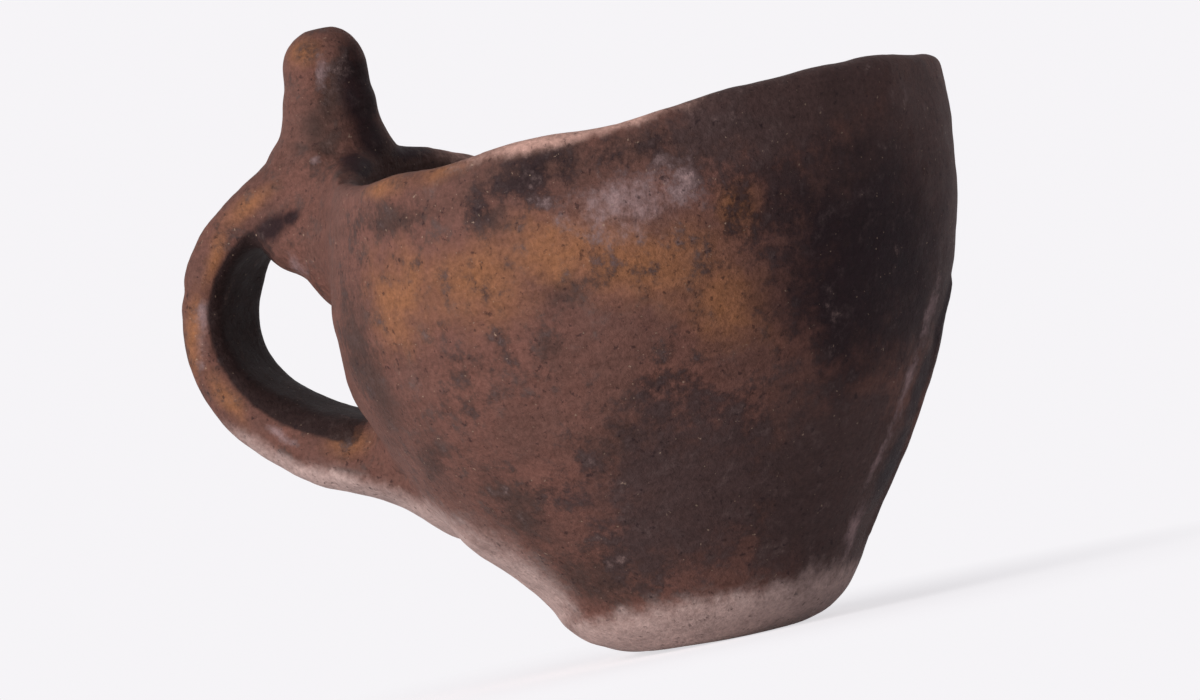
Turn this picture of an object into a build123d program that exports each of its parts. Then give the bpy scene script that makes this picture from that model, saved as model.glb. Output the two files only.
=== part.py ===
"""Hand-built clay drinking cup with a strap handle and an upright thumb knob.

Millimetres. +Z is up, the origin is the centre of the flat under the foot, and the handle points along -X.
The cup is made as a potter builds it: a foot slab, five rings of clay with slanting joints, a strap
handle whose lower end is a tenon through the wall, a knob pegged into the strap, and wads of clay that
close the joins.
"""

from build123d import *
import os

os.makedirs("parts", exist_ok=True)

# Body sections: height, centre's shift away from the handle, outer radius
FOOT_HEIGHT = 8.0
FOOT_EDGE_RADIUS = 27.2
BODY_SECTIONS = [
    (FOOT_HEIGHT, 0.0, FOOT_EDGE_RADIUS),
    (20.0, 0.2, 34.9),
    (34.0, -0.5, 45.0),
    (52.0, -0.3, 53.6),
    (64.0, 0.5, 56.5),
    (78.0, 2.5, 57.4),
    (94.0, 4.9, 56.2),
    (104.0, 6.3, 55.2),
]
WALL_THICKNESS = 6.2
FLOOR_RADIUS = 18.0
FLOOR_TURN_HEIGHT = 12.0
FLOOR_TURN_RADIUS = 23.6

# Foot slab: the flat that it stands on, and the bulge of its bevelled underside
FOOT_FLAT_RADIUS = 15.5
FOOT_BEVEL_BULGE = 1.6

# Joints between the rings of clay: height and radius on the outer face, rise per millimetre of radius
RING_JOINTS = [
    (24.0, 38.2, 0.0),
    (37.0, 46.8, 0.15),
    (56.0, 54.8, 0.45),
    (75.0, 57.4, 0.65),
]
BELOW_RINGS = (FOOT_HEIGHT, 0.0, 0.0)
ABOVE_RINGS = (140.0, 0.0, 0.0)
REACH = 90.0

# Rim line seen from the side: it swells up at the handle, dips beside it and rises away from it
RIM_LINE = [
    (-REACH, 101.2),
    (-50.0, 101.2),
    (-37.5, 93.7),
    (-27.0, 91.8),
    (0.0, 93.2),
    (34.0, 94.6),
    (REACH, 95.2),
]
LIP_RADIUS = 2.6
LOWEST_RIM = 90.0

# Handle strap: centre line in the XZ plane, then share of its length, width and thickness of its sections
STRAP_LINE = [
    (-45.5, 43.0),
    (-60.0, 45.6),
    (-77.0, 54.8),
    (-85.6, 70.0),
    (-81.5, 84.8),
    (-67.5, 94.0),
    (-49.0, 96.0),
]
STRAP_SECTIONS = [
    (0.0, 26.0, 15.0),
    (0.13, 23.5, 14.2),
    (0.3, 21.5, 12.2),
    (0.5, 21.0, 8.8),
    (0.68, 21.0, 8.8),
    (0.85, 22.0, 9.4),
    (1.0, 23.5, 10.0),
]
STRAP_EDGE_ROUNDING = 0.47
TENON_RADIUS = 4.5
TENON_HEIGHT = 44.6
TENON_ROOT_X = -57.5
TENON_TIP_X = -42.0

# Knob: foot of its axis, its lean towards the bowl, its side as radius and height on that axis, its dome
KNOB_FOOT_X = -55.5
KNOB_FOOT_Z = 100.0
KNOB_LEAN = 7.0
KNOB_UNDERSIDE = (0.0, -7.0)
KNOB_SIDE = [(11.4, -0.4), (9.0, 6.4), (8.1, 11.4)]
KNOB_DOME_HEIGHT = 16.2
KNOB_DOME_RADIUS = 7.4
PEG_RADIUS = 3.2
PEG_LENGTH = 6.5
PEG_OVERLAP = 4.0

# Wads of clay under the strap's roots: x, middle height, half width and half height of their sections
LOWER_WAD_SECTIONS = [
    (-36.0, 38.5, 18.5, 14.0),
    (-46.0, 39.4, 17.5, 11.6),
    (-54.0, 41.2, 15.6, 8.2),
    (-62.5, 44.0, 12.6, 6.0),
]
UPPER_WAD_SECTIONS = [
    (-50.0, 82.0, 17.5, 17.0),
    (-57.0, 84.2, 15.0, 13.8),
    (-63.0, 87.2, 12.5, 9.6),
    (-69.5, 90.6, 10.0, 6.0),
]
SEAL_WAD_SECTIONS = [
    (-50.0, 46.5, 13.0, 12.0),
    (-43.2, 46.2, 10.4, 9.2),
    (-40.6, 45.6, 6.4, 5.4),
]

RING_NAMES = ["lower_wall_ring", "belly_ring", "shoulder_ring", "upper_wall_ring", "rim_ring"]


def lofted_rounds(sections):
    """A smooth solid through level circles, given as height, shift along X and radius."""
    with BuildPart() as form:
        for height, shift, radius in sections:
            with BuildSketch(Plane((shift, 0, height))):
                Circle(radius)
        loft()
    return form.part


def lofted_wad(sections):
    """A smooth solid through upright ellipses square to X."""
    with BuildPart() as form:
        for x, height, half_width, half_height in sections:
            with BuildSketch(Plane((x, 0, height), x_dir=(0, 1, 0), z_dir=(-1, 0, 0))):
                Ellipse(half_width, half_height)
        loft()
    return form.part


def joint_height(joint, radius):
    """Height of a ring joint at a distance from the cup's axis."""
    outer_height, outer_radius, slope = joint
    return outer_height + slope * (radius - outer_radius)


def ring_zone(lower_joint, upper_joint):
    """The space between two joints, turned about the cup's axis."""
    with BuildPart() as zone:
        with BuildSketch(Plane.XZ):
            with BuildLine():
                Polyline(
                    (0, joint_height(lower_joint, 0)),
                    (REACH, joint_height(lower_joint, REACH)),
                    (REACH, joint_height(upper_joint, REACH)),
                    (0, joint_height(upper_joint, 0)),
                    close=True,
                )
            make_face()
        revolve(axis=Axis.Z)
    return zone.part


# Whole forms, from which the pieces are cut
body_form = lofted_rounds(BODY_SECTIONS)
hollow_sections = [(FOOT_HEIGHT, 0.0, FLOOR_RADIUS), (FLOOR_TURN_HEIGHT, 0.0, FLOOR_TURN_RADIUS)]
hollow_sections += [(height, shift, radius - WALL_THICKNESS) for height, shift, radius in BODY_SECTIONS[1:]]
hollow_form = lofted_rounds(hollow_sections)

with BuildPart() as above_rim:
    with BuildSketch(Plane.XZ):
        with BuildLine():
            Spline(*RIM_LINE, tangents=[(1, 0), (1, 0)])
            Polyline(RIM_LINE[-1], (REACH, 2 * REACH), (-REACH, 2 * REACH), RIM_LINE[0])
        make_face()
    extrude(amount=REACH, both=True)

with BuildPart() as wall:
    add(body_form)
    add(hollow_form, mode=Mode.SUBTRACT)
    add(above_rim.part, mode=Mode.SUBTRACT)
    rim_faces = wall.faces().filter_by(lambda face: face.center().Z > LOWEST_RIM)
    rim_edges = rim_faces.edges().filter_by(lambda edge: edge.length > LIP_RADIUS * 10)
    fillet(rim_edges, LIP_RADIUS)

with BuildPart() as strap_form:
    with BuildLine(Plane.XZ) as strap_line:
        Spline(*STRAP_LINE)
    for share, width, thickness in STRAP_SECTIONS:
        place = strap_line.line @ share
        heading = strap_line.line % share
        with BuildSketch(Plane(place, x_dir=(0, 1, 0), z_dir=heading)):
            RectangleRounded(width, thickness, STRAP_EDGE_ROUNDING * thickness)
    loft()

with BuildPart() as tenon:
    with BuildSketch(Plane((TENON_ROOT_X, 0, TENON_HEIGHT), x_dir=(0, 1, 0), z_dir=(1, 0, 0))):
        Circle(TENON_RADIUS)
    extrude(amount=TENON_TIP_X - TENON_ROOT_X)

knob_foot = Plane((KNOB_FOOT_X, 0, KNOB_FOOT_Z)).rotated((0, KNOB_LEAN, 0))

with BuildPart() as knob_form:
    with BuildSketch(Plane(knob_foot.origin, x_dir=knob_foot.x_dir, z_dir=(0, -1, 0))):
        with BuildLine():
            dome_edge = (KNOB_DOME_RADIUS, KNOB_DOME_HEIGHT)
            dome_top = (0, KNOB_DOME_HEIGHT + KNOB_DOME_RADIUS)
            Spline(KNOB_UNDERSIDE, *KNOB_SIDE, dome_edge, tangents=[(1, 0), (0, 1)])
            CenterArc((0, KNOB_DOME_HEIGHT), KNOB_DOME_RADIUS, 0, 90)
            Line(dome_top, KNOB_UNDERSIDE)
        make_face()
    revolve(axis=Axis(knob_foot.origin, knob_foot.z_dir))

with BuildPart() as knob_peg:
    with BuildSketch(knob_foot.offset(-PEG_LENGTH)):
        Circle(PEG_RADIUS)
    extrude(amount=PEG_LENGTH + PEG_OVERLAP)

# Foot slab: the flat, the bevelled underside and the disc that closes the bottom of the bowl
with BuildPart() as base_slab:
    with BuildSketch(Plane.XZ):
        with BuildLine():
            SagittaArc((FOOT_EDGE_RADIUS, FOOT_HEIGHT), (FOOT_FLAT_RADIUS, 0), FOOT_BEVEL_BULGE)
            Polyline((FOOT_FLAT_RADIUS, 0), (0, 0), (0, FOOT_HEIGHT), (FOOT_EDGE_RADIUS, FOOT_HEIGHT))
        make_face()
    revolve(axis=Axis.Z)

# Rings of the wall, each between two slanting joints
joints = [BELOW_RINGS, *RING_JOINTS, ABOVE_RINGS]
rings = []
for lower_joint, upper_joint in zip(joints, joints[1:]):
    with BuildPart() as ring:
        add(wall.part)
        add(ring_zone(lower_joint, upper_joint), mode=Mode.INTERSECT)
        add(tenon.part, mode=Mode.SUBTRACT)
    rings.append(ring)

# Handle: the strap stops at the wall, and its tenon goes through it
with BuildPart() as handle_strap:
    add(strap_form.part)
    add(body_form, mode=Mode.SUBTRACT)
    add(tenon.part)
    add(knob_peg.part, mode=Mode.SUBTRACT)

# Knob: it is pressed down over the strap and the rim, and its peg goes into the strap
with BuildPart() as thumb_knob:
    add(knob_form.part)
    add(wall.part, mode=Mode.SUBTRACT)
    add(strap_form.part, mode=Mode.SUBTRACT)
    add(knob_peg.part)

# Wads pressed round the strap's two roots on the outside, and over the tenon's tip inside the bowl
with BuildPart() as lower_root_wad:
    add(lofted_wad(LOWER_WAD_SECTIONS))
    add(body_form, mode=Mode.SUBTRACT)
    add(strap_form.part, mode=Mode.SUBTRACT)

with BuildPart() as upper_root_wad:
    add(lofted_wad(UPPER_WAD_SECTIONS))
    add(body_form, mode=Mode.SUBTRACT)
    add(strap_form.part, mode=Mode.SUBTRACT)

with BuildPart() as inner_seal_wad:
    add(lofted_wad(SEAL_WAD_SECTIONS))
    add(hollow_form, mode=Mode.INTERSECT)
    add(tenon.part, mode=Mode.SUBTRACT)

pieces = dict(zip(RING_NAMES, rings))
pieces["base_slab"] = base_slab
pieces["handle_strap"] = handle_strap
pieces["thumb_knob"] = thumb_knob
pieces["lower_root_wad"] = lower_root_wad
pieces["upper_root_wad"] = upper_root_wad
pieces["inner_seal_wad"] = inner_seal_wad
for name, piece in pieces.items():
    piece.part.label = name
    export_step(piece.part, f"parts/{name}.step")
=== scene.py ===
"""Looks of the hand-built clay cup.

The frame's solids are joined into one skin of clay, which is smoothed where the potter blended the
joins, worked over by hand and cut back into the cup's pieces along their hidden joints. All sizes
are in millimetres until a mesh is written, which is in metres.
"""

import functools
import itertools
import math

import bmesh
import bpy
import numpy as np
from mathutils import Matrix, Vector
from mathutils.bvhtree import BVHTree


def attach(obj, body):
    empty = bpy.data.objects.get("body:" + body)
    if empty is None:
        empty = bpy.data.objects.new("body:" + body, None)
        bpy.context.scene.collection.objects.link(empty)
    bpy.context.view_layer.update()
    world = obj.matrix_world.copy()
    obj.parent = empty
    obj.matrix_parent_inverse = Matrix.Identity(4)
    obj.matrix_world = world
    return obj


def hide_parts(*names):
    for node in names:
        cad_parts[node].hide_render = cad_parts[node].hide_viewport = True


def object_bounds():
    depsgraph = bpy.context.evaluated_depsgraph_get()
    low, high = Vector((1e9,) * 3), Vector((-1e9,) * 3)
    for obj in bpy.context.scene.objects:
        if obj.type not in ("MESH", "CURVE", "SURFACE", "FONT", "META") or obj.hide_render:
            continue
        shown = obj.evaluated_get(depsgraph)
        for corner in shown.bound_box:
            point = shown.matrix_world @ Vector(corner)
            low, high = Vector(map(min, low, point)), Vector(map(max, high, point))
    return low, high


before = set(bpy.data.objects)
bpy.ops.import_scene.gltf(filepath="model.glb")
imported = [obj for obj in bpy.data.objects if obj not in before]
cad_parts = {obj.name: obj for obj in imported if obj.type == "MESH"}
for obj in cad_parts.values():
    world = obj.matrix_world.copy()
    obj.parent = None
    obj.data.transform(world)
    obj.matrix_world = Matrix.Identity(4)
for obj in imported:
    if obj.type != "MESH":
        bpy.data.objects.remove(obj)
cad_low, cad_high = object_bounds()
scene = bpy.context.scene
MM = 0.001

# The photograph's frame and the camera that took it, which is rolled because the cup leans in the picture
PHOTO_WIDTH = 1200
PHOTO_HEIGHT = 700
PIXEL = 0.18
CAMERA_AZIMUTH = math.radians(25)
CAMERA_ROLL = math.radians(12)
CAMERA_DISTANCE = 1500.0
CAMERA_AIM = Vector((-9.135, -4.26, 55.26))
SENSOR = 36.0

level_right = Vector((math.cos(CAMERA_AZIMUTH), math.sin(CAMERA_AZIMUTH), 0))
towards_camera = Vector((math.sin(CAMERA_AZIMUTH), -math.cos(CAMERA_AZIMUTH), 0))
picture_right = math.cos(CAMERA_ROLL) * level_right - math.sin(CAMERA_ROLL) * Vector((0, 0, 1))
picture_up = math.sin(CAMERA_ROLL) * level_right + math.cos(CAMERA_ROLL) * Vector((0, 0, 1))
picture_turn = Matrix((picture_right, picture_up, towards_camera)).transposed()
camera_place = CAMERA_AIM + CAMERA_DISTANCE * towards_camera

# The skin: size of its first squares, and how the steps between them are smoothed
FIRST_SQUARE = 1.15
FAIRING_ROUNDS = 6
FAIRING_IN = 0.5
FAIRING_OUT = 0.52

# How the joins are blended. The core is the share of the reach that is blended fully
BLEND_ROUNDS = 110
BLEND_STEP = 0.6
BLEND_CORE = 0.6
BLEND_FAIRING_ROUNDS = 2
BLEND_PLACES = [
    # centre, reach and share of the blend
    ((-57.0, 0.0, 34.0), 24.0, 0.55),
    ((-52.0, 0.0, 84.0), 30.0, 1.0),
    ((-58.0, 0.0, 100.0), 19.0, 0.6),
    ((-43.0, 0.0, 46.0), 16.0, 0.5),
    ((-73.0, 0.0, 84.0), 14.0, 0.8),
    ((-46.0, -17.0, 34.0), 19.0, 1.0),
    ((-52.0, -18.0, 86.0), 19.0, 1.0),
]


# Noise: whole numbers that scatter its places, a shift for each seed, and a turn out of the cup's own axes
AXIS_SCATTER = (73856093, 19349663, 83492791)
SEED_SCATTER = 2654435761
SCATTER_ROUNDS = [(13, 1274126177), (15, 668265263)]
LARGEST = 0x7FFFFFFF
SEED_SHIFT = 17.31
NOISE_TURN = np.array(Matrix.Rotation(0.7, 3, Vector((1, 2, 3)).normalized()))


def lattice(cells, seed):
    """A steady number from -1 to 1 for each whole-numbered place."""
    mixed = seed * SEED_SCATTER
    for axis, factor in enumerate(AXIS_SCATTER):
        mixed = mixed ^ (cells[:, axis] * factor)
    for shift, factor in SCATTER_ROUNDS:
        mixed = ((mixed ^ (mixed >> shift)) * factor) & LARGEST
    return mixed / (LARGEST // 2) - 1.0


def noise(points, size, seed, stretch=(1, 1, 1)):
    """Smooth noise from -1 to 1, whose lumps are about as large as the size."""
    turned = points * np.array(stretch) @ NOISE_TURN / size + seed * SEED_SHIFT
    corner = np.floor(turned).astype(np.int64)
    share = turned - corner
    share = share**3 * (share * (share * 6 - 15) + 10)
    total = np.zeros(len(points))
    for step in itertools.product((0, 1), repeat=3):
        nearness = np.abs(1 - np.array(step) - share)
        weight = nearness[:, 0] * nearness[:, 1] * nearness[:, 2]
        total += weight * lattice(corner + np.array(step), seed)
    return total


def smooth_step(value, low, high):
    """0 below low, 1 above high and an S curve between them."""
    share = np.clip((value - low) / (high - low), 0, 1)
    return share * share * (3 - 2 * share)


def points_of(mesh):
    """The vertices of a mesh, in millimetres."""
    flat = np.empty(len(mesh.vertices) * 3, dtype=np.float32)
    mesh.vertices.foreach_get("co", flat)
    return flat.reshape(-1, 3).astype(float) / MM


def set_points(mesh, points):
    """Moves the vertices of a mesh, given in millimetres."""
    mesh.vertices.foreach_set("co", (points * MM).astype(np.float32).ravel())
    mesh.update()


def normals_of(mesh):
    """The vertex normals of a mesh."""
    flat = np.empty(len(mesh.vertices) * 3, dtype=np.float32)
    mesh.vertex_normals.foreach_get("vector", flat)
    return flat.reshape(-1, 3).astype(float)


def edges_of(mesh):
    """The two vertex numbers of each edge of a mesh."""
    flat = np.empty(len(mesh.edges) * 2, dtype=np.int32)
    mesh.edges.foreach_get("vertices", flat)
    return flat.reshape(-1, 2)


def after_modifier(mesh, kind, **settings):
    """A new mesh, which is the given one after one modifier."""
    carrier = bpy.data.objects.new("carrier", mesh)
    scene.collection.objects.link(carrier)
    modifier = carrier.modifiers.new("step", kind)
    for name, value in settings.items():
        setattr(modifier, name, value)
    graph = bpy.context.evaluated_depsgraph_get()
    made = bpy.data.meshes.new_from_object(carrier.evaluated_get(graph))
    bpy.data.objects.remove(carrier)
    return made


def neighbour_mean(points, edges):
    """The mean of each vertex's neighbours."""
    count = np.bincount(edges.ravel(), minlength=len(points))
    mean = np.empty_like(points)
    for axis in range(3):
        column = points[:, axis]
        total = np.bincount(edges[:, 0], weights=column[edges[:, 1]], minlength=len(points))
        total += np.bincount(edges[:, 1], weights=column[edges[:, 0]], minlength=len(points))
        mean[:, axis] = total / count
    return mean


def faired(points, edges, rounds):
    """Takes the small steps out of a skin without shrinking it."""
    for _ in range(rounds):
        points = points + FAIRING_IN * (neighbour_mean(points, edges) - points)
        points = points - FAIRING_OUT * (neighbour_mean(points, edges) - points)
    return points


def blended(mesh):
    """Fills the hollow corners of the joins with a smooth fillet, and leaves outer corners alone."""
    points = points_of(mesh)
    edges = edges_of(mesh)
    normals = normals_of(mesh)
    share = np.zeros(len(points))
    for centre, reach, strength in BLEND_PLACES:
        away = np.linalg.norm(points - np.array(centre), axis=1)
        share = np.maximum(share, strength * (1 - smooth_step(away, BLEND_CORE * reach, reach)))
    near = share > 0
    smooth = points.copy()
    for _ in range(BLEND_ROUNDS):
        step = BLEND_STEP * (neighbour_mean(smooth, edges) - smooth)
        smooth[near] += step[near] * share[near, None]
    lift = np.einsum("ij,ij->i", smooth - points, normals)
    filled = points + normals * np.maximum(lift, 0)[:, None]
    set_points(mesh, faired(filled, edges, BLEND_FAIRING_ROUNDS))


def joined_skin():
    """One closed skin round all the frame's solids, in even squares."""
    whole = bmesh.new()
    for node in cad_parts.values():
        whole.from_mesh(node.data)
    mesh = bpy.data.meshes.new("skin")
    whole.to_mesh(mesh)
    whole.free()
    skin = after_modifier(mesh, "REMESH", mode="VOXEL", voxel_size=FIRST_SQUARE * MM)
    set_points(skin, faired(points_of(skin), edges_of(skin), FAIRING_ROUNDS))
    blended(skin)
    return skin


def photo_ray(px, py):
    """The direction from the camera through a pixel of the photograph."""
    across = (px - PHOTO_WIDTH / 2) * PIXEL
    up = (PHOTO_HEIGHT / 2 - py) * PIXEL
    return (CAMERA_AIM + across * picture_right + up * picture_up - camera_place).normalized()


def on_skin(px, py):
    """The place on the cup that a pixel of the photograph shows, or the nearest one beside it."""
    ray = photo_ray(px, py)
    place = skin_tree.ray_cast(camera_place * MM, ray)[0]
    if place is not None:
        return place / MM
    points = points_of(skin) - np.array(camera_place)
    away = np.linalg.norm(np.cross(points, np.array(ray)), axis=1)
    return camera_place + Vector(points[away.argmin()])


def tree_of(mesh):
    """A search tree over the faces of a mesh."""
    places = [vertex.co for vertex in mesh.vertices]
    return BVHTree.FromPolygons(places, [face.vertices for face in mesh.polygons])


skin = joined_skin()
skin_tree = tree_of(skin)

# Marks of the work, placed by pixels of the photograph
DENTS = [
    # pixel across, pixel down, radius, depth (below 0 is a lump)
    (336, 178, 2.6, 1.0),
    (314, 157, 2.8, -0.9),
    (299, 150, 2.2, 0.5),
    (331, 74, 4.2, 0.7),
    (312, 110, 5.0, -0.4),
    (181, 292, 1.5, 0.4),
    (182, 320, 1.5, 0.3),
    (223, 357, 1.2, 0.4),
    (240, 205, 5.0, -0.3),
    (300, 245, 4.0, 0.5),
    (560, 290, 3.6, 0.35),
    (490, 222, 3.2, 0.4),
    (650, 190, 9.0, 0.5),
    (700, 420, 10.0, 0.4),
    (800, 330, 8.0, 0.4),
    (520, 420, 9.0, 0.35),
    (610, 560, 7.0, 0.4),
    (860, 90, 6.0, 0.4),
    (403, 514, 9.0, 1.3),
    (351, 168, 5.5, 2.6),
    (341, 175, 4.5, 1.4),
    (595, 133, 9.0, 1.0),
    (648, 120, 8.0, 0.5),
    (868, 520, 9.0, 0.5),
    (262, 168, 5.0, -1.3),
    (277, 264, 5.0, -1.6),
    (268, 286, 4.0, -0.4),
    (300, 276, 4.0, 0.5),
    (300, 392, 6.0, -0.7),
    (352, 396, 5.0, -0.7),
    (324, 297, 4.0, -0.7),
    (332, 483, 6.0, -0.6),
    (395, 187, 7.0, -0.6),
    (364, 187, 5.0, -0.7),
    (350, 190, 5.0, -0.6),
    (368, 191, 6.0, -0.9),
    (392, 186, 6.0, -0.8),
    (418, 177, 6.0, -0.3),
    (322, 205, 7.0, -0.9),
    (326, 240, 7.0, -0.9),
    (630, 658, 8.0, 1.2),
    (672, 650, 8.0, 0.4),
    (476, 541, 6.0, -0.9),
    (880, 68, 13.0, -1.3),
    (820, 82, 9.0, -0.7),
    (740, 95, 8.0, -0.4),
    (943, 150, 14.0, -0.6),
    (945, 230, 12.0, -0.5),
    (905, 430, 12.0, -0.5),
    (216, 392, 8.0, -0.2),
    (250, 436, 9.0, -0.4),
    (305, 466, 8.0, -0.6),
    (190, 244, 8.0, -0.4),
    (366, 86, 5.0, -0.5),
    (388, 130, 5.0, 0.4),
    (344, 28, 4.0, -0.4),
    (362, 46, 4.0, 0.2),
    (286, 46, 4.0, -0.3),
    (286, 84, 5.0, -0.2),
    (400, 140, 6.0, -0.4),
    (435, 144, 9.0, -0.6),
    (455, 545, 8.0, -0.5),
    (468, 547, 6.0, -0.8),
    (495, 568, 7.0, -0.4),
    (352, 352, 12.0, -0.6),
]
GROOVES = [
    # pixels that it passes through, half width, depth (below 0 is a ridge)
    ([(303, 462), (322, 468), (345, 473), (372, 477), (402, 481)], 1.1, 0.75),
    ([(284, 158), (298, 149), (318, 146), (335, 152)], 1.3, 0.45),
    ([(321, 50), (326, 75), (330, 100)], 2.6, 0.45),
    ([(948, 285), (938, 330), (925, 380), (908, 430), (890, 478), (870, 530)], 1.5, -0.45),
    ([(560, 615), (620, 606), (690, 598), (760, 590), (830, 578)], 1.2, 0.3),
]


def distance_to_line(points, corners):
    """Distance from each point to a line with several corners."""
    best = np.full(len(points), np.inf)
    for start, end in zip(corners, corners[1:]):
        along = end - start
        share = np.clip((points - start) @ along / (along @ along), 0, 1)
        best = np.minimum(best, np.linalg.norm(points - start - share[:, None] * along, axis=1))
    return best


def hand_marks(points):
    """How far the marks of the work press each point in."""
    depth = np.zeros(len(points))
    for px, py, radius, deep in DENTS:
        away = np.linalg.norm(points - np.array(on_skin(px, py)), axis=1)
        depth += deep * np.exp(-((away / radius) ** 2))
    for corners, half_width, deep in GROOVES:
        line = [np.array(on_skin(px, py)) for px, py in corners]
        depth += deep * np.exp(-((distance_to_line(points, line) / half_width) ** 2))
    return depth


# Pits and crumbs. A crumb stands out by a share of the depth that a pit would have
PIT_SEED = 11
PIT_COUNT = 90
PIT_RADIUS = (1.0, 2.0)
PIT_DEPTH = (0.12, 0.35)
PIT_REACH = 3
PIT_CHANCE = 0.75
CRUMB_HEIGHT = 0.6


def pits(points):
    """How far small pits and a few crumbs, scattered over the whole cup, press each point in."""
    rng = np.random.default_rng(PIT_SEED)
    depth = np.zeros(len(points))
    for place in points[rng.integers(0, len(points), PIT_COUNT)]:
        radius = rng.uniform(*PIT_RADIUS)
        deep = rng.uniform(*PIT_DEPTH) * (1 if rng.random() < PIT_CHANCE else -CRUMB_HEIGHT)
        near = np.abs(points - place).max(axis=1) < PIT_REACH * radius
        away = np.linalg.norm(points[near] - place, axis=1)
        depth[near] += deep * np.exp(-((away / radius) ** 2))
    return depth


# Closer than this to a side of the frame's box, points are drawn back softly
BOX_MARGIN = 0.4


def kept_room(room):
    """The room that points keep to a side of the box, which is always above 0."""
    close = BOX_MARGIN * np.exp(np.minimum(room, BOX_MARGIN) / BOX_MARGIN - 1)
    return np.where(room < BOX_MARGIN, close, room)


def held_in_box(points):
    """Draws points softly back into the frame's box, and keeps the flat underneath flat."""
    low = np.array(cad_low) / MM
    high = np.array(cad_high) / MM
    inside = points.copy()
    for axis in range(3):
        room = high[axis] - points[:, axis]
        inside[:, axis] += room - kept_room(room)
    for axis in range(2):
        room = points[:, axis] - low[axis]
        inside[:, axis] -= room - kept_room(room)
    inside[:, 2] = np.maximum(inside[:, 2], low[2])
    return inside


# Handwork leaves the skin uneven and drawn in a little, but the flat under the foot stays flat
DRAWN_IN = 0.1
FLAT_HEIGHTS = (0.15, 2.0)
ANY_WAY = (1, 1, 1)
UNEVENNESS = [
    # depth, size of its lumps, seed, and how much narrower the lumps are along X, Y and Z
    (0.42, 30, 1, ANY_WAY),
    (0.20, 13, 2, ANY_WAY),
    (0.10, 6, 3, ANY_WAY),
    (0.05, 2.6, 4, ANY_WAY),
    (0.13, 7, 5, (0.3, 0.3, 1.2)),
    (0.07, 3, 6, (0.2, 0.2, 1.3)),
]


def worked(mesh):
    """Moves the skin as hands, wiping and use leave it, and keeps it inside the frame's box."""
    points = points_of(mesh)
    normals = normals_of(mesh)
    inwards = np.full(len(points), DRAWN_IN)
    for deep, size, seed, stretch in UNEVENNESS:
        inwards += deep * noise(points, size, seed, stretch)
    inwards *= smooth_step(points[:, 2], *FLAT_HEIGHTS)
    inwards += hand_marks(points) + pits(points)
    set_points(mesh, held_in_box(points - normals * inwards[:, None]))


skin = after_modifier(skin, "SUBSURF", levels=1, render_levels=1)
worked(skin)
skin_tree = tree_of(skin)


# Cells that cut the skin back into the cup's pieces, along joints inside the clay
JOINT_SIDES = 96
CELL_REACH = 90.0
BODY_PROFILE = [
    # height, shift away from the handle and outer radius
    (8.0, 0.0, 27.2),
    (20.0, 0.2, 34.9),
    (34.0, -0.5, 45.0),
    (52.0, -0.3, 53.6),
    (64.0, 0.5, 56.5),
    (78.0, 2.5, 57.4),
    (94.0, 4.9, 56.2),
    (104.0, 6.3, 55.2),
]
BODY_STEPS = 40
BODY_CURVE_DEGREE = 6
BODY_ROOM_BELOW = 4.0
BODY_ROOM_ABOVE = 8.0
WALL = 6.2
ROOT_RECESS = 1.0
FOOT_TOP = 8.0
BELOW_FOOT = -20.0
RING_JOINTS = [
    # ring below the joint, height and radius on the outer face, rise per millimetre of radius
    ("lower_wall_ring", 24.0, 38.2, 0.0),
    ("belly_ring", 37.0, 46.8, 0.15),
    ("shoulder_ring", 56.0, 54.8, 0.45),
    ("upper_wall_ring", 75.0, 57.4, 0.65),
]
KNOB_FOOT = Vector((-55.5, 0, 100.0))
KNOB_LEAN = math.radians(7)
KNOB_AXIS = Vector((math.sin(KNOB_LEAN), 0, math.cos(KNOB_LEAN)))
KNOB_ROOM_ABOVE = 40.0
KNOB_PLUG_RADIUS = 10.8
KNOB_PLUG_DEPTH = 3.2
PEG_RADIUS = 3.2
PEG_DEPTH = 6.5

# Outlines round the strap in the XZ plane, with half their widths
STRAP_ZONE = [(-59.5, 55.0), (-65.5, 35.0), (-100.0, 20.0), (-100.0, 112.0), (-72.5, 106.0), (-67.0, 85.5)]
STRAP_TOP = [(-71.0, 95.5), (-71.0, 112.0), (-50.0, 112.0), (-50.0, 95.5)]
STRAP_HALF_WIDTH = 30.0
STRAP_TOP_HALF_WIDTH = 16.0

# Rods through the roots and round the wads: start, end, half width and half height
LOWER_CORE = (Vector((-66.0, 0, 47.2)), Vector((-48.0, 0, 43.8)), 9.4, 5.2)
UPPER_CORE = (Vector((-72.0, 0, 91.5)), Vector((-51.5, 0, 95.6)), 8.8, 3.4)
TENON = (Vector((-60.0, 0, 44.6)), Vector((-42.0, 0, 44.6)), 4.5, 4.5)
LOWER_WAD = (Vector((-72.0, 0, 38.8)), Vector((-28.0, 0, 38.8)), 20.5, 17.0)
UPPER_WAD = (Vector((-76.0, 0, 84.0)), Vector((-30.0, 0, 84.0)), 19.0, 20.5)
SEAL_WAD = (Vector((-56.0, 0, 46.5)), Vector((-30.0, 0, 46.5)), 13.6, 12.8)


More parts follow.
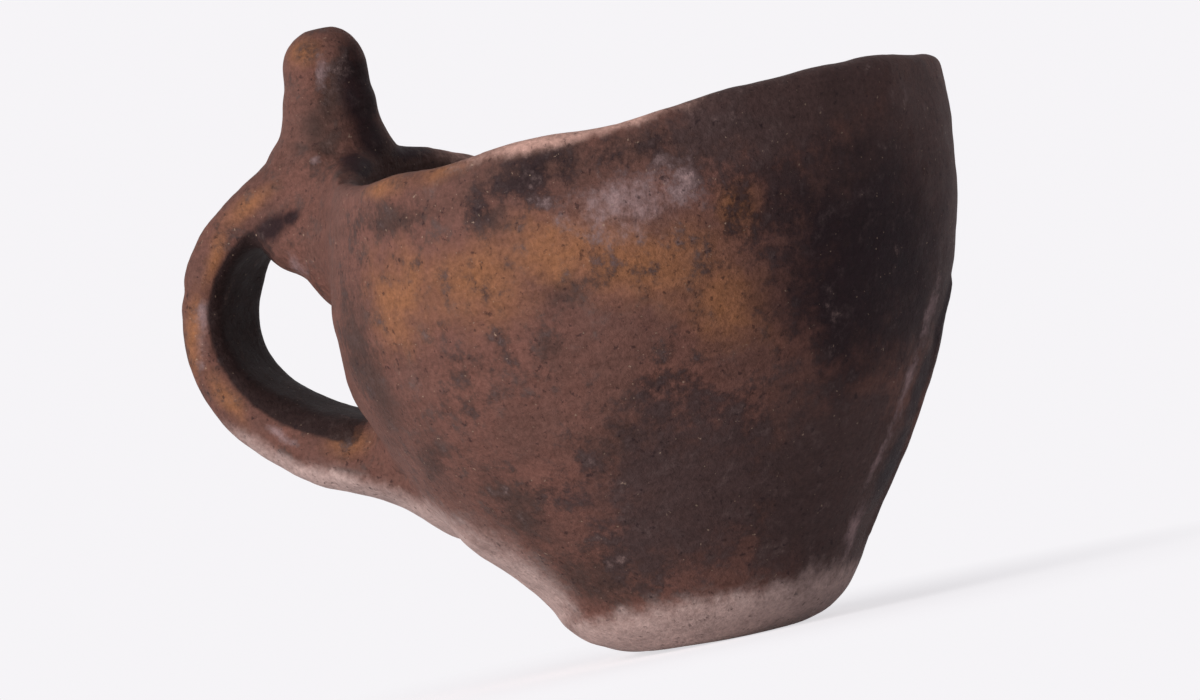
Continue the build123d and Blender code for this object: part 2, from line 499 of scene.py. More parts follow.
def turned_cell(outline, shifts=None):
    """A closed solid of level rings, from radius and height pairs that start and end on the axis."""
    form = bmesh.new()
    rows = []
    shifts = shifts or [0.0] * len(outline)
    for (radius, height), shift in zip(outline, shifts):
        if radius == 0:
            rows.append([form.verts.new(Vector((shift, 0, height)) * MM)])
            continue
        row = []
        for side in range(JOINT_SIDES):
            angle = 2 * math.pi * side / JOINT_SIDES
            place = Vector((shift + radius * math.cos(angle), radius * math.sin(angle), height))
            row.append(form.verts.new(place * MM))
        rows.append(row)
    for lower, upper in zip(rows, rows[1:]):
        for side in range(JOINT_SIDES):
            after = (side + 1) % JOINT_SIDES
            corners = [lower[side % len(lower)], lower[after % len(lower)]]
            corners += [upper[after % len(upper)], upper[side % len(upper)]]
            form.faces.new(list(dict.fromkeys(corners)))
    return finished_cell(form)


def rod_cell(start, end, half_width, half_height):
    """A closed elliptical rod between two places, with its width along Y."""
    form = bmesh.new()
    along = (end - start).normalized()
    across = Vector((0, 1, 0))
    up = along.cross(across)
    rings = []
    for place in (start, end):
        ring = []
        for side in range(JOINT_SIDES):
            angle = 2 * math.pi * side / JOINT_SIDES
            edge = across * half_width * math.cos(angle) + up * half_height * math.sin(angle)
            ring.append(form.verts.new((place + edge) * MM))
        rings.append(ring)
        form.faces.new(ring)
    for side in range(JOINT_SIDES):
        after = (side + 1) % JOINT_SIDES
        form.faces.new([rings[0][side], rings[0][after], rings[1][after], rings[1][side]])
    return finished_cell(form)


def prism_cell(corners, half_width):
    """A closed solid over an outline in the XZ plane."""
    form = bmesh.new()
    near = [form.verts.new(Vector((x, -half_width, z)) * MM) for x, z in corners]
    far = [form.verts.new(Vector((x, half_width, z)) * MM) for x, z in corners]
    form.faces.new(near)
    form.faces.new(far)
    for side in range(len(corners)):
        after = (side + 1) % len(corners)
        form.faces.new([near[side], near[after], far[after], far[side]])
    return finished_cell(form)


def finished_cell(form):
    """Turns a cell's faces outwards and returns it as a mesh."""
    bmesh.ops.recalc_face_normals(form, faces=form.faces)
    mesh = bpy.data.meshes.new("cell")
    form.to_mesh(mesh)
    form.free()
    mark_faces(mesh, 1)
    return mesh


def mark_faces(mesh, value):
    """Notes on every face whether it belongs to a joint, 1, or to the skin, 0."""
    mark = mesh.attributes.new("joint", "INT", "FACE")
    mark.data.foreach_set("value", np.full(len(mesh.polygons), value, dtype=np.int32))


def combined(first, second, operation):
    """The union, difference or intersection of two closed meshes."""
    tool = bpy.data.objects.new("tool", second)
    scene.collection.objects.link(tool)
    tool.hide_render = True
    made = after_modifier(first, "BOOLEAN", object=tool, operation=operation, solver="MANIFOLD")
    bpy.data.objects.remove(tool)
    return made


def body_cell(inset):
    """The turned body, drawn in from its outer face, with smooth sides between its sections."""
    profile = np.array(BODY_PROFILE)
    lowest = profile[0, 0] - BODY_ROOM_BELOW
    highest = profile[-1, 0] + BODY_ROOM_ABOVE
    heights = np.linspace(lowest, highest, BODY_STEPS)
    bend = np.polyfit(profile[:, 0], profile[:, 2], BODY_CURVE_DEGREE)
    radii = np.polyval(bend, np.clip(heights, profile[0, 0], profile[-1, 0])) - inset
    shifts = np.interp(heights, profile[:, 0], profile[:, 1])
    outline = [(0.0, heights[0]), *zip(radii, heights), (0.0, heights[-1])]
    return turned_cell(outline, [shifts[0], *shifts, shifts[-1]])


def below_joint(height, radius, slope):
    """Everything below a slanting joint between two rings."""
    middle = height - slope * radius
    edge = height + slope * (CELL_REACH - radius)
    outline = [(0.0, BELOW_FOOT), (CELL_REACH, BELOW_FOOT), (CELL_REACH, edge), (0.0, middle)]
    return turned_cell(outline)


def knob_cell():
    """The knob, with a shallow plug under it and its peg."""
    plug_end = KNOB_FOOT - KNOB_PLUG_DEPTH * KNOB_AXIS
    above_knob = KNOB_FOOT + KNOB_ROOM_ABOVE * KNOB_AXIS
    plug = rod_cell(plug_end, above_knob, KNOB_PLUG_RADIUS, KNOB_PLUG_RADIUS)
    peg = rod_cell(KNOB_FOOT - PEG_DEPTH * KNOB_AXIS, KNOB_FOOT, PEG_RADIUS, PEG_RADIUS)
    return combined(plug, peg, "UNION")


def strap_cell():
    """The strap outside the wads, its narrower cores inside them and its tenon."""
    cell = prism_cell(STRAP_ZONE, STRAP_HALF_WIDTH)
    cell = combined(cell, prism_cell(STRAP_TOP, STRAP_TOP_HALF_WIDTH), "UNION")
    for core in (LOWER_CORE, UPPER_CORE, TENON):
        cell = combined(cell, rod_cell(*core), "UNION")
    return cell


def piece_cells():
    """The cells in the order in which they are cut off. What is left at the end is the rim ring."""
    outer = body_cell(ROOT_RECESS)
    inner = body_cell(WALL - ROOT_RECESS)
    yield "thumb_knob", knob_cell()
    yield "handle_strap", strap_cell()
    yield "lower_root_wad", combined(rod_cell(*LOWER_WAD), outer, "DIFFERENCE")
    yield "upper_root_wad", combined(rod_cell(*UPPER_WAD), outer, "DIFFERENCE")
    yield "inner_seal_wad", combined(rod_cell(*SEAL_WAD), inner, "INTERSECT")
    yield "base_slab", below_joint(FOOT_TOP, 0.0, 0.0)
    for name, height, radius, slope in RING_JOINTS:
        yield name, below_joint(height, radius, slope)


rest = skin
mark_faces(rest, 0)
piece_meshes = {}
for name, cell in piece_cells():
    piece_meshes[name] = combined(rest, cell, "INTERSECT")
    rest = combined(rest, cell, "DIFFERENCE")
piece_meshes["rim_ring"] = rest


def split_at_joints(mesh):
    """Gives the faces inside a joint their own material, with a sharp edge round them."""
    joint = np.empty(len(mesh.polygons), dtype=np.int32)
    mesh.attributes["joint"].data.foreach_get("value", joint)
    sides = np.empty(len(mesh.polygons), dtype=np.int32)
    mesh.polygons.foreach_get("loop_total", sides)
    edges = np.empty(len(mesh.loops), dtype=np.int32)
    mesh.loops.foreach_get("edge_index", edges)
    beside = np.repeat(joint, sides)
    count = np.bincount(edges, minlength=len(mesh.edges))
    marked = np.bincount(edges, weights=beside, minlength=len(mesh.edges))
    sharp = mesh.attributes.new("sharp_edge", "BOOLEAN", "EDGE")
    sharp.data.foreach_set("value", (marked > 0) & (marked < count))
    mesh.polygons.foreach_set("material_index", joint)
    mesh.attributes.remove(mesh.attributes["joint"])


# Pieces, named after the nodes that they replace
HANDLE_PIECES = ("handle_strap", "thumb_knob")
pieces = {}
for name, mesh in piece_meshes.items():
    mesh.name = name
    piece = bpy.data.objects.new("clay_" + name, mesh)
    scene.collection.objects.link(piece)
    mesh.shade_smooth()
    split_at_joints(mesh)
    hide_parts(name)
    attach(piece, "root")
    pieces[name] = piece


# The edges of patches wander over this length, and each seed moves a material's noise by this much
PATCH_WAVE = 13.0
SEED_MOVE = (31.7, -17.9, 23.3)

# Where a Mix node has its share and its two colours among its inputs, and the colour among its outputs
MIX_SHARE = 0
MIX_COLOURS = (6, 7)
MIX_RESULT = 2


class Nodes:
    """The shader nodes of one material or world, made and linked in short calls."""

    def __init__(self, owner):
        owner.use_nodes = True
        self.tree = owner.node_tree
        self.tree.nodes.clear()

    def add(self, kind, inputs=None, **settings):
        """A new node with its settings and its inputs, each a value or another node's output."""
        node = self.tree.nodes.new(kind)
        for name, value in settings.items():
            setattr(node, name, value)
        for key, value in (inputs or {}).items():
            if isinstance(value, bpy.types.NodeSocket):
                self.tree.links.new(value, node.inputs[key])
            else:
                node.inputs[key].default_value = value
        return node

    def math(self, operation, first, second):
        """One sum on two numbers."""
        return self.add("ShaderNodeMath", {0: first, 1: second}, operation=operation).outputs[0]


class Paint(Nodes):
    """The shader nodes of a material, with noise, patches and coats of colour in millimetres."""

    def __init__(self, name):
        self.material = bpy.data.materials.new(name)
        super().__init__(self.material)
        own = self.add("ShaderNodeTexCoord").outputs["Object"]
        self.place = self.add("ShaderNodeVectorMath", {0: own, "Scale": 1 / MM}, operation="SCALE").outputs[0]

    @functools.cached_property
    def waves(self):
        """Three numbers from 0 to 1 that the edges of patches wander by."""
        inputs = {"Vector": self.place, "Scale": 1 / PATCH_WAVE, "Detail": 4.0, "Roughness": 0.6}
        return self.add("ShaderNodeTexNoise", inputs).outputs[1]

    def total(self, *parts):
        """The sum of several numbers, where a pair stands for (value - 0.5) times a weight."""
        whole = None
        for part in parts:
            if isinstance(part, tuple):
                value, weight = part
                inputs = {0: value, 1: weight, 2: -0.5 * weight}
                part = self.add("ShaderNodeMath", inputs, operation="MULTIPLY_ADD").outputs[0]
            whole = part if whole is None else self.math("ADD", whole, part)
        return whole

    def noise(self, size, detail, roughness, seed, stretch=(1, 1, 1)):
        """Noise from 0 to 1 whose lumps are about as large as the size."""
        move = [seed * length for length in SEED_MOVE]
        inputs = {"Vector": self.place, "Scale": stretch, "Location": move}
        place = self.add("ShaderNodeMapping", inputs).outputs[0]
        inputs = {"Vector": place, "Scale": 1 / size, "Detail": detail, "Roughness": roughness}
        return self.add("ShaderNodeTexNoise", inputs).outputs[0]

    def step(self, value, low, high, most=1.0):
        """0 below low, the most above high and an S curve between them."""
        inputs = {"Value": value, "From Min": low, "From Max": high, "To Max": most}
        return self.add("ShaderNodeMapRange", inputs, interpolation_type="SMOOTHSTEP").outputs[0]

    def mix(self, share, first, second):
        """A colour between two others, each three numbers or a node's output."""
        inputs = {MIX_SHARE: share}
        for socket, colour in zip(MIX_COLOURS, (first, second)):
            inputs[socket] = (*colour, 1) if isinstance(colour, tuple) else colour
        return self.add("ShaderNodeMix", inputs, data_type="RGBA").outputs[MIX_RESULT]

    def coat(self, under, over, amount, low, high, most=1.0):
        """One colour over another: none of it where the amount is low, and the most where it is high."""
        return self.mix(self.step(amount, low, high, most), under, over)

    def shaded(self, colour, shade):
        """A colour made lighter or darker by a factor."""
        return self.add("ShaderNodeVectorMath", {0: colour, "Scale": shade}, operation="SCALE").outputs[0]

    def noted(self, name):
        """A number that is noted on the mesh."""
        return self.add("ShaderNodeAttribute", attribute_name=name).outputs["Fac"]

    def patches(self, spots, drift, join="MAXIMUM"):
        """1 at the middle of each of several soft patches and 0 outside them, placed by pixels."""
        inputs = {0: self.waves, 1: (drift,) * 3, 2: (-0.5 * drift,) * 3}
        moved = self.add("ShaderNodeVectorMath", inputs, operation="MULTIPLY_ADD").outputs[0]
        moved = self.add("ShaderNodeVectorMath", {0: self.place, 1: moved}).outputs[0]
        whole = None
        for px, py, half_width, half_height, tilt, depth in spots:
            turn = picture_turn @ Matrix.Rotation(math.radians(tilt), 3, "Z")
            inputs = {"Vector": moved, "Location": on_skin(px, py), "Rotation": turn.to_euler()}
            inputs["Scale"] = (half_width * PIXEL, half_height * PIXEL, depth)
            place = self.add("ShaderNodeMapping", inputs, vector_type="TEXTURE").outputs[0]
            one = self.add("ShaderNodeTexGradient", {"Vector": place}, gradient_type="SPHERICAL").outputs[1]
            whole = one if whole is None else self.math(join, whole, one)
        return whole

    def finished(self, colour, roughness, specular, relief, strength, depth):
        """The material, whose relief shades it as bumps of a strength and a depth would."""
        inputs = {"Strength": strength, "Distance": depth * MM, "Height": relief}
        bump = self.add("ShaderNodeBump", inputs).outputs[0]
        inputs = {"Base Color": colour, "Roughness": roughness, "Normal": bump}
        inputs["Specular IOR Level"] = specular
        shader = self.add("ShaderNodeBsdfPrincipled", inputs)
        self.add("ShaderNodeOutputMaterial", {"Surface": shader.outputs[0]})
        return self.material


# Colours of the clay
BROWN = (0.140, 0.067, 0.054)
RED_BROWN = (0.190, 0.084, 0.066)
# Dark brown: the clay's dark mottling, and also painted shade
DARK_BROWN_AND_SHADE = (0.062, 0.036, 0.031)
# Ochre, also used for painted highlights
OCHRE_AND_HIGHLIGHT = (0.320, 0.135, 0.062)
SMOKE = (0.072, 0.043, 0.041)
# Soot black, also used as painted shade
SOOT_AND_SHADE = (0.016, 0.009, 0.012)
# Pale grey: ash on the far side, and also painted highlights
ASH_AND_HIGHLIGHT = (0.300, 0.200, 0.200)
# Pale dust, also standing in for bounce light from the floor
DUST_AND_BOUNCE_LIGHT = (0.510, 0.365, 0.335)
# Lip wear, also a painted highlight along the lip
LIP_WEAR_AND_HIGHLIGHT = (0.600, 0.360, 0.300)
# Dark grime, also painted shade on the strap's inner face
GRIME_AND_SHADE = (0.028, 0.017, 0.017)
# Painted shade on the inside of the bowl
SHADED_INSIDE = (0.075, 0.045, 0.040)
PALE_FLECK = (0.420, 0.300, 0.220)
RAW = (0.230, 0.115, 0.080)

# Patches: pixel across, pixel down, half width, half height, tilt in degrees, depth in millimetres
OCHRE_SPOTS = [
    (470, 286, 110, 60, 10, 40),
    (560, 245, 110, 44, 8, 40),
    (650, 254, 130, 76, -10, 40),
    (730, 300, 70, 70, -10, 40),
    (735, 205, 46, 42, 0, 20),
    (400, 300, 50, 90, 0, 30),
]
# Ochre spots, most of them painted highlights on the handle's lit top and near edge and along the near lip
SMALL_OCHRE_AND_HIGHLIGHT_SPOTS = [
    (250, 203, 50, 18, 38, 10),
    (196, 330, 16, 70, 0, 8),
    (302, 50, 30, 24, 0, 8),
    (380, 186, 80, 20, 6, 9),
    (348, 440, 40, 26, 0, 10),
    (440, 172, 60, 18, 18, 10),
    (215, 260, 14, 50, -20, 10),
    (230, 400, 16, 50, 30, 10),
]
SMOKE_SPOTS = [
    (930, 200, 245, 255, 0, 80),
    (835, 500, 135, 205, 0, 70),
    (800, 90, 230, 90, 14, 60),
    (690, 490, 130, 130, 20, 30),
]
SOOT_SPOTS = [
    (868, 260, 135, 168, 0, 70),
]
# Painted shade with some soot: the knob's shaded right side, the hollow behind it, the corner between strap
# and body and the dark band along the right edge
SMALL_SOOT_AND_SHADE_SPOTS = [
    (362, 95, 30, 90, 6, 9),
    (372, 135, 30, 50, 20, 9),
    (352, 160, 22, 24, 0, 8),
    (362, 166, 30, 22, 0, 12),
    (410, 151, 64, 16, 6, 17),
    (272, 228, 40, 17, 30, 8),
    (289, 218, 19, 12, 25, 8),
    (943, 318, 9, 70, -12, 20),
    (922, 385, 10, 70, -20, 20),
    (893, 460, 9, 70, -25, 20),
]
# Dark mottling, with painted shade on the knob's shaded side and on the body's edge beside the strap
DARK_AND_SHADE_SPOTS = [
    (525, 172, 150, 50, 14, 20),
    (520, 168, 110, 34, 14, 20),
    (645, 142, 100, 34, 14, 14),
    (710, 140, 120, 44, 14, 20),
    (780, 470, 80, 140, 0, 30),
    (520, 515, 80, 40, -52, 16),
    (490, 222, 36, 30, 0, 10),
    (560, 290, 32, 36, 0, 10),
    (555, 352, 26, 30, 0, 10),
    (630, 440, 90, 60, 30, 16),
    (600, 580, 110, 60, 10, 16),
    (650, 555, 70, 40, 0, 20),
    (356, 345, 46, 90, 8, 14),
    (325, 140, 44, 50, 0, 10),
    (335, 100, 26, 70, 0, 10),
    (432, 462, 34, 50, 0, 14),
    (390, 215, 110, 26, 4, 14),
]
# Painted shade: the crease under the knob, the hollow beside it, the knob's shaded side, the groove under the
# strap and the body's edge beside it
SMALL_SHADE_SPOTS = [
    (304, 147, 26, 9, -8, 5),
    (337, 174, 18, 16, 0, 5),
    (340, 90, 22, 70, 4, 7),
    (328, 110, 22, 40, 0, 7),
    (316, 128, 26, 44, 6, 8),
    (345, 471, 60, 6, -8, 5),
    (378, 388, 26, 92, 18, 24),
]
BLACK_MOTTLED_SPOTS = [
    (700, 470, 190, 170, 20, 40),
    (775, 505, 130, 110, 10, 40),
    (780, 190, 160, 130, 20, 40),
    (525, 182, 105, 56, 14, 20),
    (650, 145, 120, 40, 14, 20),
]
# A painted highlight near the rim
SHEEN_SPOTS = [
    (630, 202, 120, 62, 12, 24),
]
# Painted highlights: the knob, the lit underside of the strap, the strap's lit edge and a stripe along the
# right edge
SMALL_HIGHLIGHT_SPOTS = [
    (322, 70, 12, 30, 0, 8),
    (316, 158, 12, 10, 0, 5),
    (296, 265, 18, 26, 30, 8),
    (930, 310, 8, 70, -12, 10),
    (908, 385, 8, 80, -18, 10),
    (880, 455, 8, 70, -24, 10),
    (852, 530, 14, 46, -16, 12),
    (222, 357, 6, 8, 0, 4),
    (204, 330, 15, 66, 0, 8),
    (280, 434, 40, 11, -32, 8),
]
# Dust with painted bounce light from the floor, along the lower left edge and under the strap
DUST_AND_BOUNCE_SPOTS = [
    (270, 470, 120, 22, -32, 18),
    (370, 500, 110, 34, -18, 24),
    (440, 530, 90, 40, -34, 30),
    (502, 568, 120, 60, -40, 34),
    (345, 492, 60, 24, -14, 18),
    (540, 600, 80, 50, -30, 30),
    (830, 600, 60, 40, 30, 34),
]
# The painted highlight along the lip
LIP_HIGHLIGHT_SPOTS = [
    (575, 130, 155, 60, 12, 40),
]

# Y where the fire clouds of the side that isn't in the photograph begin, and where they are whole
FAR_SIDE = (4, 32)

# Height above which the foot has no dust and painted bounce light, and height below which it is full of them
FOOT_DUST_AND_BOUNCE = (12.0, 4.5)


def fired_clay():
    """Brown clay with ochre and black fire clouds, ash, dust, grime and worn edges, and painted shade,
    highlights and bounce light.
    """
    paint = Paint("fired_clay")
    broad = paint.noise(36, detail=3, roughness=0.5, seed=1)
    other = paint.noise(30, detail=3, roughness=0.5, seed=6)
    cloud = paint.noise(14, detail=5, roughness=0.6, seed=2)
    mottle = paint.noise(4.5, detail=6, roughness=0.7, seed=3)
    grain = paint.noise(0.9, detail=4, roughness=0.7, seed=4)
    strokes = paint.noise(3.0, detail=4, roughness=0.6, seed=5, stretch=(0.12, 0.12, 1.3))
    fleck = paint.noise(0.8, detail=2, roughness=0.5, seed=9)
    speck = paint.noise(1.3, detail=3, roughness=0.6, seed=10)
    axes = paint.add("ShaderNodeSeparateXYZ", {0: paint.place}).outputs
    far = paint.step(axes["Y"], *FAR_SIDE)

    # The clay's own colour, ochre where the fire had air, and painted highlights on the handle's lit top and
    # edge and along the near lip
    colour = paint.coat(BROWN, RED_BROWN, cloud, 0.35, 0.65)
    far_ochre = paint.math("MULTIPLY", far, paint.step(broad, 0.45, 0.65, most=0.8))
    ochre_with_highlight = paint.math("MAXIMUM", paint.patches(OCHRE_SPOTS, drift=16), far_ochre)
    ochre_with_highlight = paint.math("MAXIMUM", paint.patches(SMALL_OCHRE_AND_HIGHLIGHT_SPOTS, drift=4), ochre_with_highlight)
    ochre_with_highlight = paint.total(ochre_with_highlight, (cloud, 1.0), (mottle, 0.9), (broad, 0.4))
    colour = paint.coat(colour, OCHRE_AND_HIGHLIGHT, ochre_with_highlight, 0.0, 1.1, most=0.9)

    # Dark and black mottling, and painted shade in creases and hollows, on the knob's shaded side and on the
    # body beside the strap
    mottled = paint.total(mottle, (cloud, 0.6))
    colour = paint.coat(colour, DARK_BROWN_AND_SHADE, mottled, 0.42, 0.78, most=0.85)
    dark_and_shade = paint.total(paint.patches(DARK_AND_SHADE_SPOTS, drift=9), (mottle, 2.4), (cloud, 0.9))
    small_shade = paint.total(paint.patches(SMALL_SHADE_SPOTS, drift=2), (mottle, 0.6))
    dark_and_shade = paint.math("MAXIMUM", dark_and_shade, small_shade)
    colour = paint.coat(colour, DARK_BROWN_AND_SHADE, dark_and_shade, 0.0, 1.0, most=0.9)
    black = paint.patches(BLACK_MOTTLED_SPOTS, drift=14)
    black = paint.total(black, -0.05, (mottle, 3.4), (cloud, 1.4))
    colour = paint.coat(colour, SOOT_AND_SHADE, black, 0.15, 1.0, most=0.8)

    # Smoke and soot, with painted shade on the knob's right side, in the hollow behind it, in the corner
    # under the strap and along the right edge
    far_smoke = paint.math("MULTIPLY", far, paint.step(other, 0.48, 0.66, most=0.7))
    smoke = paint.math("MAXIMUM", paint.patches(SMOKE_SPOTS, drift=14), far_smoke)
    smoke = paint.total(smoke, (cloud, 0.7), (mottle, 1.0))
    colour = paint.coat(colour, SMOKE, smoke, 0.0, 0.6, most=0.92)
    far_soot = paint.math("MULTIPLY", far, paint.step(other, 0.58, 0.75, most=0.7))
    sooted_and_shaded = paint.math("MAXIMUM", paint.patches(SOOT_SPOTS, drift=14), far_soot)
    sooted_and_shaded = paint.total(sooted_and_shaded, (cloud, 0.7), (mottle, 1.0))
    small_soot_and_shade = paint.total(paint.patches(SMALL_SOOT_AND_SHADE_SPOTS, drift=3), 0.05, (mottle, 0.5))
    sooted_and_shaded = paint.math("MAXIMUM", sooted_and_shaded, small_soot_and_shade)
    colour = paint.coat(colour, SOOT_AND_SHADE, sooted_and_shaded, 0.0, 0.75, most=0.9)

    # Pale ash on the far side, and painted highlights near the rim, on the knob, under the strap and along
    # the right edge
    far_ash = paint.math("MULTIPLY", far, paint.step(broad, 0.46, 0.32, most=0.55))
    ash_with_highlight = paint.math("MAXIMUM", paint.patches(SHEEN_SPOTS, drift=12), far_ash)
    ash_with_highlight = paint.math("MAXIMUM", paint.patches(SMALL_HIGHLIGHT_SPOTS, drift=3), ash_with_highlight)
    ash_with_highlight = paint.total(ash_with_highlight, -0.28, (mottle, 1.9), (cloud, 0.8))
    colour = paint.coat(colour, ASH_AND_HIGHLIGHT, ash_with_highlight, 0.0, 0.85, most=0.85)

    # Painted shade on the inside of the bowl, except where the small painted shade and soot reach over the
    # rim, and painted shade with grime on the strap's inner face
    plain = paint.math("SUBTRACT", 0.85, paint.step(small_soot_and_shade, 0.0, 0.75, most=0.85))
    colour = paint.mix(paint.math("MULTIPLY", paint.noted("inside"), plain), colour, SHADED_INSIDE)
    grime_and_shade = paint.total(paint.noted("grip"), (mottle, 0.7), (cloud, 0.4))
    colour = paint.coat(colour, GRIME_AND_SHADE, grime_and_shade, 0.25, 0.85, most=0.95)

    # Chalky dust with painted bounce light from the floor, in patches and all round the foot
    powder_and_bounce = paint.math("MINIMUM", paint.patches(DUST_AND_BOUNCE_SPOTS, drift=5, join="ADD"), 1.0)
    dust_with_bounce = paint.total(powder_and_bounce, -0.05, (mottle, 0.7), (cloud, 0.6))
    foot_line = paint.total(axes["Z"], (cloud, -5.0), (mottle, -0.8))
    foot_dust_and_bounce = paint.total(paint.step(foot_line, *FOOT_DUST_AND_BOUNCE), (mottle, 1.1))
    dust_with_bounce = paint.math("MAXIMUM", dust_with_bounce, foot_dust_and_bounce)
    colour = paint.coat(colour, DUST_AND_BOUNCE_LIGHT, dust_with_bounce, 0.0, 1.05, most=0.9)

    # The lip's wear with a painted highlight along it
    far_wear = paint.math("MULTIPLY", far, 0.5)
    wear_and_highlight = paint.math("MAXIMUM", paint.patches(LIP_HIGHLIGHT_SPOTS, drift=6), far_wear)
    worn_and_lit = paint.math("MULTIPLY", paint.noted("lip"), wear_and_highlight)
    worn_and_lit = paint.total(worn_and_lit, (mottle, 0.7), (cloud, 0.2))
    colour = paint.coat(colour, LIP_WEAR_AND_HIGHLIGHT, worn_and_lit, 0.08, 0.60, most=0.9)

    # Pale flecks, dark specks, and the grain of the whole surface
    colour = paint.coat(colour, PALE_FLECK, fleck, 0.71, 0.76, most=0.5)
    colour = paint.coat(colour, SOOT_AND_SHADE, speck, 0.60, 0.72, most=0.6)
    colour = paint.shaded(colour, paint.total(1.0, (grain, 1.3), (strokes, 0.5), (mottle, 0.8)))
    rough = paint.total(0.66, (mottle, 0.35), (grain, 0.2))
    relief = paint.total((grain, 0.8), (strokes, 0.7), (mottle, 1.2))
    return paint.finished(colour, rough, specular=0.07, relief=relief, strength=0.8, depth=0.4)


def raw_clay():
    """The rough, paler clay of the hidden joint faces."""
    paint = Paint("raw_clay")
    grain = paint.noise(1.4, detail=5, roughness=0.7, seed=7)
    cloud = paint.noise(9, detail=4, roughness=0.6, seed=8)
    colour = paint.coat(RAW, BROWN, cloud, 0.3, 0.7)
    colour = paint.shaded(colour, paint.total(1.0, (grain, 0.8)))
    return paint.finished(colour, 0.9, specular=0.2, relief=grain, strength=0.6, depth=0.5)


# The rim seen from the side, and how far down from it the lip's wear and painted highlight go
RIM_LINE = [(-50.0, 101.2), (-37.5, 93.7), (-27.0, 91.8), (0.0, 93.2), (34.0, 94.6), (62.0, 95.2)]
LIP_DEPTH = 4.2

# How far to either side of the wall's middle the painted shade of the inside fades, and how far below the
# floor it begins
INSIDE_EDGE = 1.0
FLOOR_EDGE = 0.5

# The strap's middle seen from the side, and the middle of the hole that it goes round
STRAP_LINE = [
    (-45.5, 43.0),
    (-60.0, 45.6),
    (-77.0, 54.8),
    (-85.6, 70.0),
    (-81.5, 84.8),
    (-67.5, 94.0),
    (-49.0, 96.0),
]
HOLE_MIDDLE = (-68.0, 70.0)

# Where the finger goes, the strap's inner face is painted dark as shade and grime
# Steps between two corners of the strap's line, and where the finger goes: from one such step to
# another along the line, and in millimetres from it
STRAP_STEPS = 8
GRIP_START = (4, 9)
GRIP_END = (36, 41)
GRIP_SIDE = (1.5, 3.4)
GRIP_REACH = (8, 13)


def note(mesh, name, values):
    """Notes one number on each vertex of a mesh, for its material."""
    mesh.attributes.new(name, "FLOAT", "POINT").data.foreach_set("value", values.astype(np.float32))


def smooth_line(corners, steps):
    """Points along a smooth curve through several corners."""
    ends = np.array([2 * corners[0] - corners[1], *corners, 2 * corners[-1] - corners[-2]])
    line = []
    for before, start, end, after in zip(ends, ends[1:], ends[2:], ends[3:]):
        for share in np.arange(steps) / steps:
            bend = (end - before) * share + (2 * before - 5 * start + 4 * end - after) * share**2
            bend = bend + (3 * start - before - 3 * end + after) * share**3
            line.append(start + 0.5 * bend)
    return np.array([*line, corners[-1]])


def grip_share(points):
    """1 on the strap's inner face, where the finger goes, and 0 on its outer face."""
    line = smooth_line(np.array(STRAP_LINE), STRAP_STEPS)
    flat = points[:, [0, 2]]
    best = np.full(len(points), np.inf)
    inner = np.zeros(len(points))
    number = np.arange(len(line))
    middle = smooth_step(number, *GRIP_START) * (1 - smooth_step(number, *GRIP_END))
    for start, end, level in zip(line, line[1:], middle):
        along = end - start
        share = np.clip((flat - start) @ along / (along @ along), 0, 1)
        offset = flat - start - share[:, None] * along
        away = np.linalg.norm(offset, axis=1)
        side = np.array((-along[1], along[0])) / np.linalg.norm(along)
        side *= np.sign((np.array(HOLE_MIDDLE) - start) @ side)
        inner = np.where(away < best, level * smooth_step(offset @ side, *GRIP_SIDE), inner)
        best = np.minimum(best, away)
    return inner * (1 - smooth_step(best, *GRIP_REACH))


def note_places(name, mesh):
    """Notes how near the lip, how far inside the bowl and how near the finger each vertex is."""
    points = points_of(mesh)
    profile = np.array(BODY_PROFILE)
    radius = np.interp(points[:, 2], profile[:, 0], profile[:, 2])
    shift = np.interp(points[:, 2], profile[:, 0], profile[:, 1])
    away = np.hypot(points[:, 0] - shift, points[:, 1])
    bowl = 1 - smooth_step(away - radius + 0.5 * WALL, -INSIDE_EDGE, INSIDE_EDGE)
    rim = np.interp(points[:, 0], *zip(*RIM_LINE))
    lip = smooth_step(points[:, 2] - rim, -LIP_DEPTH, 0)
    on_bowl = name not in HANDLE_PIECES
    note(mesh, "inside", on_bowl * bowl * (points[:, 2] > FOOT_TOP - FLOOR_EDGE))
    note(mesh, "lip", on_bowl * lip)
    note(mesh, "grip", grip_share(points))


clay = fired_clay()
raw = raw_clay()
for name, piece in pieces.items():
    note_places(name, piece.data)
    piece.data.materials.clear()
    piece.data.materials.append(clay)
    piece.data.materials.append(raw)


# Stage: a pale floor that fades into the background, a soft world and a large soft lamp
BACKGROUND = (0.92, 0.905, 0.93)
WORLD_LIGHT = (0.30, 0.295, 0.31)
FLOOR_RADIUS = 1200.0
FLOOR_SIDES = 128

# The floor's colour for the light that it throws back, and a paler one for the camera
FLOOR_COLOUR = (0.86, 0.85, 0.87)
FLOOR_SEEN = (1.75, 1.72, 1.77)

# Share of the background over the floor, under the cup and away from it, and how far out it changes
FLOOR_GLOW = (0.72, 1.0)
FLOOR_FADE = (40, 130)

# The lamp's angles from -Y and from level, its distance from the cup, its width, power and colour
KEY_AZIMUTH = math.radians(-24)
KEY_ELEVATION = math.radians(14)
KEY_DISTANCE = 1100.0
KEY_SIZE = 700.0
KEY_POWER = 10.5
KEY_COLOUR = (1.0, 0.985, 0.965)


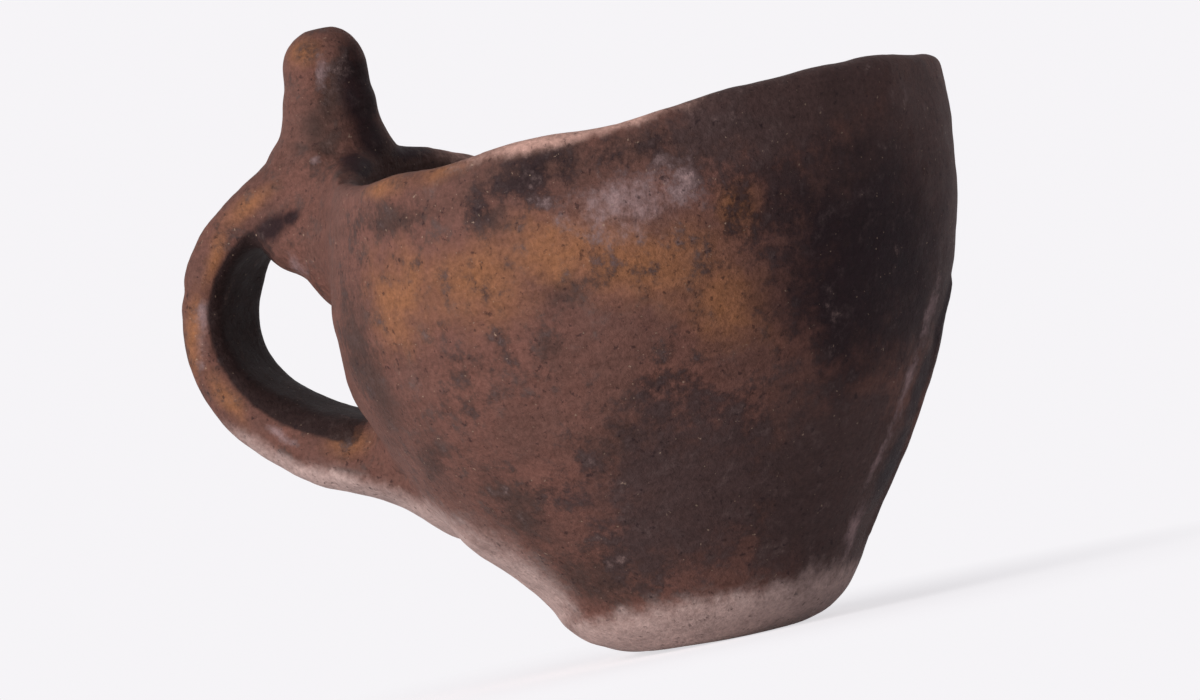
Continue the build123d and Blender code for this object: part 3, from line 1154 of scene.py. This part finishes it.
def white_world():
    """A plain pale background for the camera and in reflections, and an even soft light on the cup."""
    world = bpy.data.worlds.new("studio")
    nodes = Nodes(world)
    rays = nodes.add("ShaderNodeLightPath").outputs
    shown = nodes.math("MAXIMUM", rays["Is Camera Ray"], rays["Is Transmission Ray"])
    shown = nodes.math("MAXIMUM", shown, rays["Is Glossy Ray"])
    light = nodes.add("ShaderNodeBackground", {"Color": (*WORLD_LIGHT, 1)}).outputs[0]
    seen = nodes.add("ShaderNodeBackground", {"Color": (*BACKGROUND, 1)}).outputs[0]
    mixed = nodes.add("ShaderNodeMixShader", {0: shown, 1: light, 2: seen}).outputs[0]
    nodes.add("ShaderNodeOutputWorld", {"Surface": mixed})
    scene.world = world


def pale_floor():
    """A round pale floor, which takes a soft shadow and fades into the background."""
    form = bmesh.new()
    bmesh.ops.create_circle(form, cap_ends=True, segments=FLOOR_SIDES, radius=FLOOR_RADIUS * MM)
    mesh = bpy.data.meshes.new("floor")
    form.to_mesh(mesh)
    form.free()
    floor = bpy.data.objects.new("floor", mesh)
    scene.collection.objects.link(floor)
    paint = Paint("floor")
    away = paint.add("ShaderNodeVectorMath", {0: paint.place}, operation="LENGTH").outputs[1]
    rays = paint.add("ShaderNodeLightPath").outputs
    colour = paint.mix(rays["Is Camera Ray"], FLOOR_COLOUR, FLOOR_SEEN)
    lit = paint.add("ShaderNodeBsdfDiffuse", {"Color": colour}).outputs[0]
    plain = paint.add("ShaderNodeEmission", {"Color": (*BACKGROUND, 1)}).outputs[0]
    inputs = {"Value": away, "From Min": FLOOR_FADE[0], "From Max": FLOOR_FADE[1]}
    inputs |= {"To Min": FLOOR_GLOW[0], "To Max": FLOOR_GLOW[1]}
    glow = paint.add("ShaderNodeMapRange", inputs).outputs[0]
    shown = paint.math("MAXIMUM", rays["Is Camera Ray"], rays["Is Glossy Ray"])
    glow = paint.math("MULTIPLY", glow, shown)
    mixed = paint.add("ShaderNodeMixShader", {0: glow, 1: lit, 2: plain}).outputs[0]
    paint.add("ShaderNodeOutputMaterial", {"Surface": mixed})
    mesh.materials.append(paint.material)


def key_lamp():
    """A large square lamp to the left of the camera, which faces the cup."""
    light = bpy.data.lights.new("key", "AREA")
    light.size = KEY_SIZE * MM
    light.energy = KEY_POWER
    light.color = KEY_COLOUR
    lamp = bpy.data.objects.new("key", light)
    level = Vector((math.sin(KEY_AZIMUTH), -math.cos(KEY_AZIMUTH), 0))
    back = math.cos(KEY_ELEVATION) * level + math.sin(KEY_ELEVATION) * Vector((0, 0, 1))
    lamp.location = (CAMERA_AIM + KEY_DISTANCE * back) * MM
    lamp.rotation_mode = "QUATERNION"
    lamp.rotation_quaternion = back.to_track_quat("Z", "Y")
    scene.collection.objects.link(lamp)


white_world()
pale_floor()
key_lamp()

camera = bpy.data.cameras.new("camera")
camera.sensor_width = SENSOR
camera.lens = SENSOR * CAMERA_DISTANCE / (PHOTO_WIDTH * PIXEL)
viewer = bpy.data.objects.new("camera", camera)
viewer.matrix_world = Matrix.Translation(camera_place * MM) @ picture_turn.to_4x4()
scene.collection.objects.link(viewer)
scene.camera = viewer
scene.view_settings.view_transform = "Standard"
